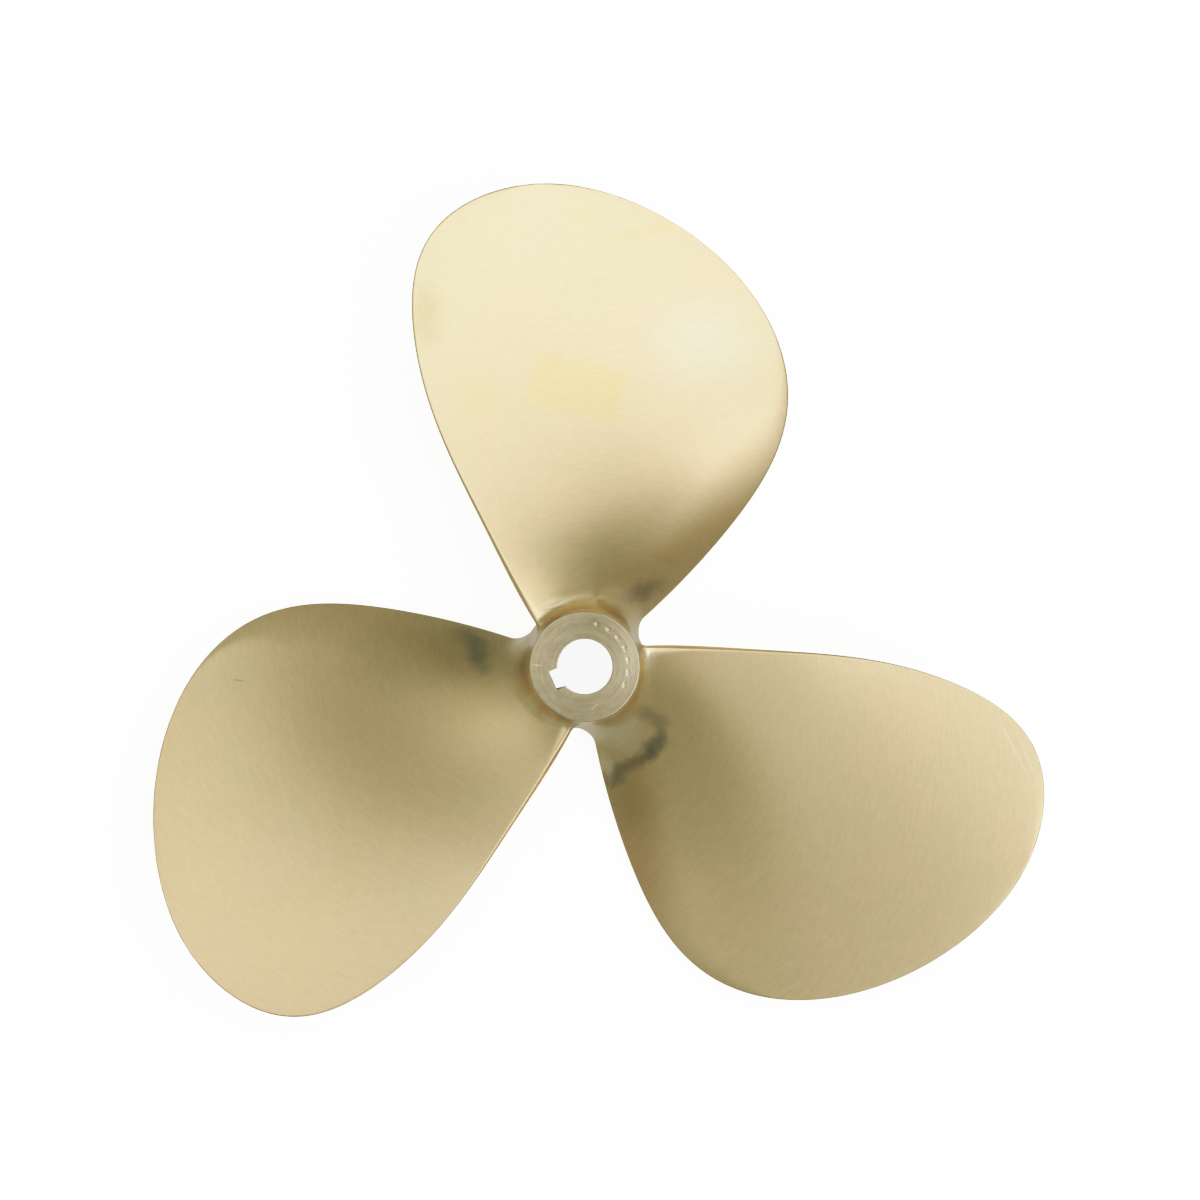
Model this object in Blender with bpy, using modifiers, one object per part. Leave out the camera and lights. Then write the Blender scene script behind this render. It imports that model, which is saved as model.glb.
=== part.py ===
"""Three-bladed bronze boat propeller, 16 inch by 10 inch, right-handed, cast in one piece.

The shaft axis is Z and the aft end of the hub points up. The origin is on the shaft axis at half the hub's
length, and the first blade points along +Y. Sizes are in metres. Angles in degrees run anticlockwise round
the shaft from +X, as seen from aft.
"""

import math

import bmesh
import bpy
import numpy as np

NAME = "propeller"

# The propeller as a whole: 16 inch diameter and 10 inch pitch, a little finer at the root
TIP_RADIUS = 0.2032
PITCH = 0.254
BLADES = 3
BLADE_AXIS = 87.0
TIP_ANGLE = 96.2
FACE_LIFT = 0.001
ROOT_PITCH_SHARE = 0.82
FULL_PITCH_RADIUS = 0.100

# Hub: a barrel tapered from its forward end to the turned collar at its aft end
HUB_LENGTH = 0.075
FORWARD_RADIUS = 0.027
FORWARD_CHAMFER = 0.001
COLLAR_RADIUS = 0.0227
COLLAR_LENGTH = 0.0035
AFT_FACE_RADIUS = 0.0222
AFT_EDGE_HEIGHT = 0.0007

# Bore for a 30 mm shaft with a 1 in 10 taper, and its keyway for an 8 mm key
SHAFT_DIAMETER = 0.030
TAPER = 0.1
KEYWAY_WIDTH = 0.008
KEYWAY_DEPTH = 0.003
KEYWAY_ANGLE = 204.0

# Blade edges seen along the shaft: degrees from the tip's radial line at shares of the span, before the
# factor that closes the round tip
SPAN_SHARES = (0.20, 0.50, 0.75, 0.90, 1.00)
LEADING_DEGREES = (56.0, 57.5, 58.0, 51.5, 41.0)
TRAILING_DEGREES = (31.5, 29.5, 31.0, 35.0, 41.0)

# Blade thickness at mid chord and at the rounded edges, and how much of the arch stands on the pressure face
ROOT_THICKNESS = 0.0115
TIP_THICKNESS = 0.0022
ROOT_EDGE = 0.0034
TIP_EDGE = 0.0014
FACE_ARCH_SHARE = 0.5

# Fillet between blade and hub, at mid chord and at the blade's edges
FACE_FILLET = 0.008
EDGE_FILLET = 0.005
FILLET_SINK = 0.0006
ROOT_BURY = 0.003
CONE_FADE = 0.040

# Facets
HUB_SEGMENTS = 72
BORE_SEGMENTS = 48
FACE_POINTS = 11
FILLET_STEPS = 5
SPAN_STEPS = 18
TIP_TURN = 87.0
CUT_MARGIN = 0.005
KEYWAY_CORE = 0.006

HALF_LENGTH = HUB_LENGTH / 2
ROOT_RADIUS = (FORWARD_RADIUS + COLLAR_RADIUS) / 2
SPAN = TIP_RADIUS - ROOT_RADIUS
LEADING_CURVE = np.polyfit(SPAN_SHARES, LEADING_DEGREES, len(SPAN_SHARES) - 1)
TRAILING_CURVE = np.polyfit(SPAN_SHARES, TRAILING_DEGREES, len(SPAN_SHARES) - 1)

BRONZE = {"Base Color": (0.66, 0.56, 0.33, 1.0), "Metallic": 1.0, "Roughness": 0.38}


def clear_scene():
    for item in list(bpy.data.objects):
        bpy.data.objects.remove(item, do_unlink=True)


def new_collection(name):
    group = bpy.data.collections.new(name)
    bpy.context.scene.collection.children.link(group)
    return group


def new_material(name, values):
    material = bpy.data.materials.new(name)
    material.use_nodes = True
    shader = material.node_tree.nodes["Principled BSDF"]
    for socket, value in values.items():
        shader.inputs[socket].default_value = value
    return material


def new_object(name, mesh, group):
    item = bpy.data.objects.new(name, mesh)
    group.objects.link(item)
    return item


def as_cutter(item):
    item.hide_render = True
    item.display_type = "WIRE"
    return item


def smooth_step(value, end):
    share = min(max(value / end, 0.0), 1.0)
    return share * share * (3.0 - 2.0 * share)


def barrel_radius(z):
    """Radius of the hub's tapered barrel at a height."""
    share = (z + HALF_LENGTH) / (HUB_LENGTH - COLLAR_LENGTH)
    return FORWARD_RADIUS + (COLLAR_RADIUS - FORWARD_RADIUS) * min(max(share, 0.0), 1.0)


def rise_per_radian(radius):
    share = smooth_step(radius - ROOT_RADIUS, FULL_PITCH_RADIUS - ROOT_RADIUS)
    return PITCH * (ROOT_PITCH_SHARE + (1.0 - ROOT_PITCH_SHARE) * share) / (2.0 * math.pi)


def edge_angles(share):
    """Angles of the leading and the trailing edge at a share of the span."""
    closing = math.sqrt(1.0 - share * share)
    leading = TIP_ANGLE - closing * np.polyval(LEADING_CURVE, share)
    trailing = TIP_ANGLE + closing * np.polyval(TRAILING_CURVE, share)
    return math.radians(leading), math.radians(trailing)


def thickness_at(share):
    """Thickness at mid chord and at the edges at a share of the span."""
    middle = TIP_THICKNESS + (ROOT_THICKNESS - TIP_THICKNESS) * (1.0 - share) ** 1.2
    edge = TIP_EDGE + (ROOT_EDGE - TIP_EDGE) * (1.0 - share) ** 2
    return middle, edge


def section(radius, share):
    """Blade section unrolled from the cylinder of this radius.

    Its points are (distance round the cylinder, height). They run along the pressure face from the leading
    to the trailing edge, round that edge, and back along the suction face. Both faces are arched, as on a
    thin lens. The arch at each point, 0 at the edges and 1 at mid chord, comes with the points.
    """
    leading, trailing = edge_angles(share)
    middle, edge = thickness_at(share)
    rise = rise_per_radian(radius)
    slope = math.atan2(rise, radius)
    along = np.array([math.cos(slope), math.sin(slope)])
    forward = np.array([math.sin(slope), -math.cos(slope)])
    lead_angle = leading - forward[0] * edge / (2.0 * radius)
    lead_height = FACE_LIFT + rise * (lead_angle - math.radians(BLADE_AXIS))
    start = np.array([radius * lead_angle, lead_height])
    chord = radius * (trailing - leading) / math.cos(slope)
    nose = min(edge / 2.0, chord / 4.0)

    places = np.linspace(0.0, 1.0, FACE_POINTS)
    arches = 4.0 * places * (1.0 - places)
    line = start + along * (nose + places * (chord - 2.0 * nose))[:, None]
    bulge = (middle - edge) * arches
    face = line - forward * (FACE_ARCH_SHARE * bulge)[:, None]
    back = line + forward * (edge + (1.0 - FACE_ARCH_SHARE) * bulge)[:, None]
    trailing_nose = line[-1] + along * nose + forward * edge / 2.0
    leading_nose = line[0] - along * nose + forward * edge / 2.0
    points = np.vstack([face, trailing_nose, back[::-1], leading_nose])
    return points, np.concatenate([arches, [0.0], arches[::-1], [0.0]])


def fillet_offset(height, arch):
    """How far the fillet stands out from the section at a height over the hub."""
    radius = EDGE_FILLET + (FACE_FILLET - EDGE_FILLET) * arch
    below_top = np.clip(radius - height - FILLET_SINK, 0.0, radius)
    return radius - np.sqrt(radius**2 - below_top**2)


def blade_ring(height):
    """Ring of points round the blade at a height over the hub, which it follows near the root."""
    radius = ROOT_RADIUS + height
    points, arch = section(radius, max(height, 0.0) / SPAN)
    tangents = np.roll(points, -1, axis=0) - np.roll(points, 1, axis=0)
    normals = np.stack([-tangents[:, 1], tangents[:, 0]], axis=1)
    normals /= np.linalg.norm(normals, axis=1)[:, None]
    points = points + normals * fillet_offset(height, arch)[:, None]
    fade = 1.0 - smooth_step(height, CONE_FADE)
    ring = []
    for distance, z in points:
        angle = distance / radius
        reach = radius + fade * (barrel_radius(z) - ROOT_RADIUS)
        ring.append((reach * math.cos(angle), reach * math.sin(angle), z))
    return ring


def ring_heights():
    """Heights of the blade's rings, close together in the fillet and at the round tip."""
    turns = [math.radians(90.0 * step / FILLET_STEPS) for step in range(FILLET_STEPS + 1)]
    heights = [-ROOT_BURY] + [FACE_FILLET * (1.0 - math.cos(turn)) for turn in turns]
    first = math.degrees(math.asin(FACE_FILLET / SPAN))
    for step in range(1, SPAN_STEPS + 1):
        turn = first + (TIP_TURN - first) * step / SPAN_STEPS
        heights.append(SPAN * math.sin(math.radians(turn)))
    return heights


def close_ring(surface, ring):
    """Fill a ring with strips from its pressure face to its suction face."""
    last = FACE_POINTS - 1
    pairs = [(ring[i], ring[2 * last + 2 - i]) for i in range(FACE_POINTS)]
    for (face_a, back_a), (face_b, back_b) in zip(pairs, pairs[1:]):
        surface.faces.new((face_a, face_b, back_b, back_a))
    surface.faces.new((ring[last], ring[last + 1], ring[last + 2]))
    surface.faces.new((ring[2 * last + 2], ring[2 * last + 3], ring[0]))


def blade_mesh():
    """One blade, lofted through its rings from inside the hub to the tip."""
    surface = bmesh.new()
    rings = [[surface.verts.new(point) for point in blade_ring(height)] for height in ring_heights()]
    for lower, upper in zip(rings, rings[1:]):
        for i in range(len(lower)):
            surface.faces.new((lower[i - 1], lower[i], upper[i], upper[i - 1]))
    close_ring(surface, rings[0])
    close_ring(surface, rings[-1])
    bmesh.ops.recalc_face_normals(surface, faces=surface.faces)
    mesh = bpy.data.meshes.new("blade")
    surface.to_mesh(mesh)
    surface.free()
    return mesh


def hub_profile():
    """Half profile of the hub from the middle of its aft face down to the middle of its forward face."""
    return [
        (0.0, HALF_LENGTH),
        (AFT_FACE_RADIUS, HALF_LENGTH),
        (COLLAR_RADIUS, HALF_LENGTH - AFT_EDGE_HEIGHT),
        (COLLAR_RADIUS, HALF_LENGTH - COLLAR_LENGTH),
        (FORWARD_RADIUS, FORWARD_CHAMFER - HALF_LENGTH),
        (FORWARD_RADIUS - FORWARD_CHAMFER, -HALF_LENGTH),
        (0.0, -HALF_LENGTH),
    ]


def make_hub(group, material):
    """Hub turned from its profile."""
    points = [(radius, 0.0, z) for radius, z in hub_profile()]
    mesh = bpy.data.meshes.new(NAME)
    mesh.from_pydata(points, [(i, i + 1) for i in range(len(points) - 1)], [])
    mesh.materials.append(material)
    hub = new_object(NAME, mesh, group)
    turn = hub.modifiers.new("turn", "SCREW")
    turn.axis = "Z"
    turn.steps = HUB_SEGMENTS
    turn.render_steps = HUB_SEGMENTS
    turn.use_merge_vertices = True
    turn.merge_threshold = 0.00001
    turn.use_normal_calculate = True
    return hub


def make_bore(group):
    """Cutter for the tapered bore, wide at the forward end."""
    reach = HALF_LENGTH + CUT_MARGIN
    forward_radius = SHAFT_DIAMETER / 2 + CUT_MARGIN * TAPER / 2
    surface = bmesh.new()
    bmesh.ops.create_cone(
        surface,
        cap_ends=True,
        segments=BORE_SEGMENTS,
        radius1=forward_radius,
        radius2=forward_radius - 2 * reach * TAPER / 2,
        depth=2 * reach,
    )
    mesh = bpy.data.meshes.new("bore")
    surface.to_mesh(mesh)
    surface.free()
    return as_cutter(new_object("bore", mesh, group))


def make_keyway(group):
    """Cutter for the keyway, whose floor follows the taper of the bore."""
    reach = HALF_LENGTH + 2 * CUT_MARGIN
    surface = bmesh.new()
    bmesh.ops.create_cube(surface, size=1.0)
    bmesh.ops.scale(surface, vec=(KEYWAY_CORE + KEYWAY_DEPTH, KEYWAY_WIDTH, 2 * reach), verts=surface.verts)
    mesh = bpy.data.meshes.new("keyway")
    surface.to_mesh(mesh)
    surface.free()
    keyway = as_cutter(new_object("keyway", mesh, group))
    middle = (SHAFT_DIAMETER - HALF_LENGTH * TAPER) / 2 + (KEYWAY_DEPTH - KEYWAY_CORE) / 2
    turn = math.radians(KEYWAY_ANGLE)
    keyway.location = (middle * math.cos(turn), middle * math.sin(turn), 0.0)
    keyway.rotation_euler = (0.0, -math.atan(TAPER / 2), turn)
    return keyway


def add_boolean(target, operation, tool):
    step = target.modifiers.new(f"{operation.lower()} {tool.name}", "BOOLEAN")
    step.operation = operation
    step.solver = "EXACT"
    step.object = tool


def main():
    clear_scene()
    parts = new_collection(NAME)
    tools = new_collection("tools")
    hub = make_hub(parts, new_material("bronze", BRONZE))
    blade = blade_mesh()
    for number in range(BLADES):
        item = as_cutter(new_object(f"blade_{number + 1}", blade, tools))
        item.rotation_euler = (0.0, 0.0, math.radians(360.0 * number / BLADES))
        add_boolean(hub, "UNION", item)
    add_boolean(hub, "DIFFERENCE", make_bore(tools))
    add_boolean(hub, "DIFFERENCE", make_keyway(tools))


main()
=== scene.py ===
"""Looks of a three-bladed bronze boat propeller in a plain studio.

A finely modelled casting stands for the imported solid. It repeats the solid's driving sizes and adds what
the solid leaves out: smooth curves, rounded blade edges, the broken edges of the machined faces and the
punch marks. Sizes are in metres. The shaft axis is Z, the aft end of the hub points up, and angles in
degrees run anticlockwise round the shaft from +X, as seen from aft.
"""

import logging
import math
from collections.abc import Iterable
from dataclasses import dataclass, field
from enum import IntEnum

import bmesh
import bpy
import numpy as np
from mathutils import Matrix, Vector, noise


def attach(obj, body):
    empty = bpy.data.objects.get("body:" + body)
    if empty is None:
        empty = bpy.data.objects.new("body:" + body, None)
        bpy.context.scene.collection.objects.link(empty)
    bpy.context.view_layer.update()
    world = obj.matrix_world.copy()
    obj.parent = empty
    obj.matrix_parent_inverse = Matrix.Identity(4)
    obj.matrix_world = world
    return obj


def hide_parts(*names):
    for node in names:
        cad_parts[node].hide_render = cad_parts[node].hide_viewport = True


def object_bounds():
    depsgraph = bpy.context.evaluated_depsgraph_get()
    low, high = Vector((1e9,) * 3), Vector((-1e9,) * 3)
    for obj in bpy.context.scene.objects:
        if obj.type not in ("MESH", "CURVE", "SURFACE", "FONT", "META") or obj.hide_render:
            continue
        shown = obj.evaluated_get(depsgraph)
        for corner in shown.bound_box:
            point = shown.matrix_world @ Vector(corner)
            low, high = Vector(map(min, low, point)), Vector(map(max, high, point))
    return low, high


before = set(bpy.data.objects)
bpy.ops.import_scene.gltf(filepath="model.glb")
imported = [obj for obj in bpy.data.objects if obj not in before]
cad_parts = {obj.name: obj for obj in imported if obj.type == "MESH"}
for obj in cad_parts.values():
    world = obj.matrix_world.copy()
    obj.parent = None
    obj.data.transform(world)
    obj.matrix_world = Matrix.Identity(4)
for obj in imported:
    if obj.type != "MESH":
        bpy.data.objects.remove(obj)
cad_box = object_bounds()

log = logging.getLogger("propeller")

Socket = bpy.types.NodeSocket
Value = float | Socket
Place = tuple[float, float, float]
Tint = tuple[float, float, float]
Pair = tuple[float, float]
Inputs = dict[int | str, Value | tuple[float, ...]]


class Surface(IntEnum):
    """The casting's finishes, in the order of its material slots."""

    BRUSHED = 0
    TURNED = 1


def smooth_step(value: float, end: float) -> float:
    """Return a smooth ramp from 0 at zero to 1 at the end value."""
    share = min(max(value / end, 0.0), 1.0)
    return share * share * (3.0 - 2.0 * share)


def arch(share: np.ndarray) -> np.ndarray:
    """Return an even arch over shares from 0 to 1, which is 1 high in the middle."""
    return 4.0 * share * (1.0 - share)


def early_arch(share: np.ndarray) -> np.ndarray:
    """Return an arch over shares from 0 to 1 that rises fast and is 1 high at a quarter."""
    return 9.48 * share * (1.0 - share) ** 3


def polar(radius: np.ndarray | float, angle: np.ndarray | float, z: np.ndarray | float) -> np.ndarray:
    """Return points from radii, angles in radians and heights."""
    radius, angle, z = np.broadcast_arrays(radius, angle, z)
    return np.stack([radius * np.cos(angle), radius * np.sin(angle), z], axis=-1)


def turn_angles(points: np.ndarray) -> np.ndarray:
    """Return the angles of points round the shaft, running on without a jump."""
    return np.unwrap(np.arctan2(points[:, 1], points[:, 0]))


def add_object(name: str, data: bpy.types.ID) -> bpy.types.Object:
    """Return a new object with its data, linked to the scene."""
    item = bpy.data.objects.new(name, data)
    bpy.context.scene.collection.objects.link(item)
    return item


@dataclass
class Skin:
    """Points and faces of one closed surface, gathered strip by strip."""

    points: list[np.ndarray] = field(default_factory=list)
    faces: list[tuple[int, ...]] = field(default_factory=list)
    surfaces: list[int] = field(default_factory=list)
    count: int = 0

    def loop(self, points: np.ndarray) -> np.ndarray:
        """Add a row of points.

        Args:
            points: The points, one to a line.

        Returns:
            The points' places in the skin.
        """
        self.points.append(points)
        self.count += len(points)
        return np.arange(self.count - len(points), self.count)

    def strip(self, lower: np.ndarray, upper: np.ndarray, surface: Surface) -> None:
        """Join two closed rows of the same length with four-sided faces.

        Args:
            lower: Places of the first row's points.
            upper: Places of the second row's points.
            surface: The finish of the new faces.
        """
        for i in range(len(lower)):
            self.faces.append((lower[i - 1], lower[i], upper[i], upper[i - 1]))
            self.surfaces.append(int(surface))

    def run(self, last: np.ndarray, loops: Iterable[np.ndarray], surface: Surface) -> np.ndarray:
        """Add closed rows one after another, each joined to the one before.

        Args:
            last: Places of the row to start from.
            loops: Points of the new rows.
            surface: The finish of the new faces.

        Returns:
            Places of the last row's points.
        """
        for points in loops:
            ring = self.loop(points)
            self.strip(last, ring, surface)
            last = ring
        return last

    def face(self, corners: tuple[int, ...], surface: Surface) -> None:
        """Add one face."""
        self.faces.append(corners)
        self.surfaces.append(int(surface))

    def mesh(self, name: str, weld: float, crease: float) -> bpy.types.Mesh:
        """Make the mesh, with doubled points welded and faces turned outwards.

        Args:
            name: The mesh's name.
            weld: Points closer than this become one.
            crease: Edges that fold more than this angle, in degrees, stay sharp.

        Returns:
            The new mesh.
        """
        mesh = bpy.data.meshes.new(name)
        mesh.from_pydata(np.concatenate(self.points).tolist(), [], self.faces)
        mesh.polygons.foreach_set("material_index", self.surfaces)
        work = bmesh.new()
        work.from_mesh(mesh)
        bmesh.ops.remove_doubles(work, verts=work.verts, dist=weld)
        bmesh.ops.recalc_face_normals(work, faces=work.faces)
        work.to_mesh(mesh)
        work.free()
        mesh.polygons.foreach_set("use_smooth", [True] * len(mesh.polygons))
        mesh.set_sharp_from_angle(angle=math.radians(crease))
        return mesh


@dataclass
class Hub:
    """The tapered barrel with its turned ends, tapered bore, keyway and punch marks."""

    length: float = 0.075
    forward_radius: float = 0.027
    forward_chamfer: float = 0.001
    collar_radius: float = 0.0227
    collar_length: float = 0.0035
    rim_rounding: float = 0.0006
    shaft_diameter: float = 0.030
    taper: float = 0.1
    keyway_width: float = 0.008
    keyway_depth: float = 0.003
    keyway_angle: float = 204.0
    broken_edge: float = 0.0003
    # Punch marks on the ring face, and the crowding of points near them
    marks: int = 7
    marks_radius: float = 0.0180
    first_mark: float = -24.6
    mark_pitch: float = 16.3
    mark_radius: float = 0.0010
    mark_depth: float = 0.00045
    mark_lip: float = 0.00004
    mark_crowding: float = 0.6
    crowded_width: float = 0.0032
    # Loops of the ring face, from its rim inwards to the bore's outline
    outer_face_radii: tuple[float, ...] = (0.02195, 0.0212, 0.0203)
    marked_band: Pair = (0.0194, 0.0166)
    inner_face_radius: float = 0.0160
    blend_radius: float = 0.0156
    blend_shares: tuple[float, ...] = (0.0, 0.4, 0.75, 0.95, 1.0)
    # Loops of the bore's broken edges, in shares of the broken edge, and of the forward end
    edge_fall: float = 0.3
    edge_outset: float = 0.4
    edge_margin: float = 4.0
    chamfer_shares: Pair = (0.15, 0.85)
    forward_insets: tuple[float, ...] = (0.0001, 0.0004, 0.003, 0.006)
    # Numbers of loops, and of points round each one
    rim_steps: int = 8
    marked_loops: int = 15
    bore_loops: int = 12
    loop_points: int = 192
    keyway_corner: int = 16
    keyway_floor: int = 11

    @property
    def half(self) -> float:
        """Return half the hub's length."""
        return self.length / 2

    @property
    def top(self) -> float:
        """Return the height where the barrel ends and the collar begins."""
        return self.half - self.collar_length

    @property
    def bottom(self) -> float:
        """Return the height where the barrel ends and the forward chamfer begins."""
        return self.forward_chamfer - self.half

    @property
    def root_radius(self) -> float:
        """Return the barrel's mean radius, from which the blades are measured."""
        return (self.forward_radius + self.collar_radius) / 2

    def barrel_radius(self, z: np.ndarray) -> np.ndarray:
        """Return the barrel's radius at heights."""
        share = np.clip((z + self.half) / (self.length - self.collar_length), 0.0, 1.0)
        return self.forward_radius + (self.collar_radius - self.forward_radius) * share

    def bore_outline(self, z: float, start: float, outset: float = 0.0) -> np.ndarray:
        """Outline of the bore with its keyway at a height.

        Args:
            z: The height.
            start: Angle of the loop's first point, in radians.
            outset: How far the outline is moved into the metal.

        Returns:
            Points of the closed outline, in step with the hub's other loops.
        """
        radius = (self.shaft_diameter - (z + self.half) * self.taper) / 2 + outset
        half_width = self.keyway_width / 2 + outset
        floor = radius + self.keyway_depth
        corner = math.asin(half_width / radius)
        half_count = self.loop_points // 2
        turn = math.radians(self.keyway_angle)
        middle = round((turn - start) / (2 * math.pi) * self.loop_points)
        steps = (np.arange(self.loop_points) - middle + half_count) % self.loop_points - half_count
        far = np.abs(steps)
        side = np.sign(steps)
        along = (far - self.keyway_corner) / (half_count - self.keyway_corner)
        angle = corner + np.clip(along, 0.0, 1.0) * (math.pi - corner)
        up_wall = np.clip((self.keyway_corner - far) / (self.keyway_corner - self.keyway_floor), 0.0, 1.0)
        wall = radius * math.cos(corner) + up_wall * (floor - radius * math.cos(corner))
        across = np.clip(far / self.keyway_floor, 0.0, 1.0) * half_width
        on_circle = far >= self.keyway_corner
        x = np.where(on_circle, radius * np.cos(angle), wall)
        y = side * np.where(on_circle, radius * np.sin(angle), across)
        spin = np.array([[math.cos(turn), math.sin(turn)], [-math.sin(turn), math.cos(turn)]])
        flat = np.stack([x, y], axis=1) @ spin
        return np.column_stack([flat, np.full(self.loop_points, z)])

    def crowd(self, angles: np.ndarray) -> np.ndarray:
        """Move angles towards the punch marks, so that the marks get more points.

        Args:
            angles: Even angles round the ring face, in radians.

        Returns:
            The moved angles.
        """
        pitch = math.radians(self.mark_pitch)
        phase = (angles - math.radians(self.first_mark) + math.pi) % (2 * math.pi) - math.pi
        inside = (phase > -pitch / 2) & (phase < pitch * (self.marks - 0.5))
        shift = self.mark_crowding * pitch / (2 * math.pi) * np.sin(2 * math.pi * phase / pitch)
        return angles - np.where(inside, shift, 0.0)

    def punched(self, points: np.ndarray) -> np.ndarray:
        """Sink the punch marks into points of the aft face.

        Args:
            points: The points, which are changed in place.

        Returns:
            The same points.
        """
        for number in range(self.marks):
            turn = math.radians(self.first_mark + number * self.mark_pitch)
            centre = self.marks_radius * np.array([math.cos(turn), math.sin(turn)])
            reach = np.linalg.norm(points[:, :2] - centre, axis=1) / self.mark_radius
            bowl = self.mark_depth * np.clip(1.0 - reach**2, 0.0, 1.0) ** 1.5
            lip = self.mark_lip * np.exp(-(((reach - 1.2) / 0.2) ** 2))
            points[:, 2] += np.where(reach < 1.0, 0.0, lip) - bowl
        return points

    def build_aft_end(self, skin: Skin, angles: np.ndarray, barrel_end: np.ndarray) -> np.ndarray:
        """Build the collar, its rounded rim and the ring face.

        Args:
            skin: The surface to add to.
            angles: Angles of the barrel's last loop.
            barrel_end: Places of that loop's points.

        Returns:
            Places of the bore's first loop.
        """
        loops = [polar(self.collar_radius, angles, self.half - self.collar_length / 2)]
        for turn in np.radians(np.linspace(0.0, 90.0, self.rim_steps + 1)):
            inset = self.rim_rounding * (1.0 - math.cos(turn))
            drop = self.rim_rounding * (1.0 - math.sin(turn))
            loops.append(polar(self.collar_radius - inset, angles, self.half - drop))

        moved = self.crowd(angles) - angles
        marked = np.linspace(*self.marked_band, self.marked_loops)
        for radius in (*self.outer_face_radii, *marked, self.inner_face_radius):
            share = 1.0 - min(abs(radius - self.marks_radius) / self.crowded_width, 1.0)
            crowded = angles + moved * min(2.0 * share, 1.0)
            loops.append(self.punched(polar(radius, crowded, self.half)))

        edge = self.bore_outline(self.half, angles[0], self.broken_edge)
        outer = polar(self.blend_radius, angles, self.half)
        loops += [outer + (edge - outer) * share for share in self.blend_shares]
        return skin.run(barrel_end, loops, Surface.TURNED)

    def build_bore(self, skin: Skin, start: float, last: np.ndarray) -> np.ndarray:
        """Build the tapered bore from the aft face down to the forward face.

        Args:
            skin: The surface to add to.
            start: Angle of the loops' first point, in radians.
            last: Places of the loop round the bore in the aft face.

        Returns:
            Places of the loop round the bore in the forward face.
        """
        edge = self.broken_edge
        fall = self.edge_fall * edge
        halfway = self.edge_outset * edge
        straight = self.half - self.edge_margin * edge
        levels = [(self.half - fall, halfway), (self.half - edge, 0.0)]
        levels += [(z, 0.0) for z in np.linspace(straight, -straight, self.bore_loops)]
        levels += [(edge - self.half, 0.0), (fall - self.half, halfway), (-self.half, edge)]
        loops = [self.bore_outline(z, start, outset) for z, outset in levels]
        return skin.run(last, loops, Surface.TURNED)

    def build_forward_end(self, skin: Skin, angles: np.ndarray, last: np.ndarray, bore: np.ndarray) -> None:
        """Build the forward chamfer and ring face.

        Args:
            skin: The surface to add to.
            angles: Angles of the barrel's last loop.
            last: Places of that loop's points.
            bore: Places of the loop round the bore in the forward face.
        """
        cuts = [share * self.forward_chamfer for share in self.chamfer_shares]
        face_radius = self.forward_radius - self.forward_chamfer
        loops = [polar(self.forward_radius - cut, angles, self.bottom - cut) for cut in cuts]
        loops += [polar(face_radius - inset, angles, -self.half) for inset in self.forward_insets]
        skin.strip(skin.run(last, loops, Surface.TURNED), bore, Surface.TURNED)


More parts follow.
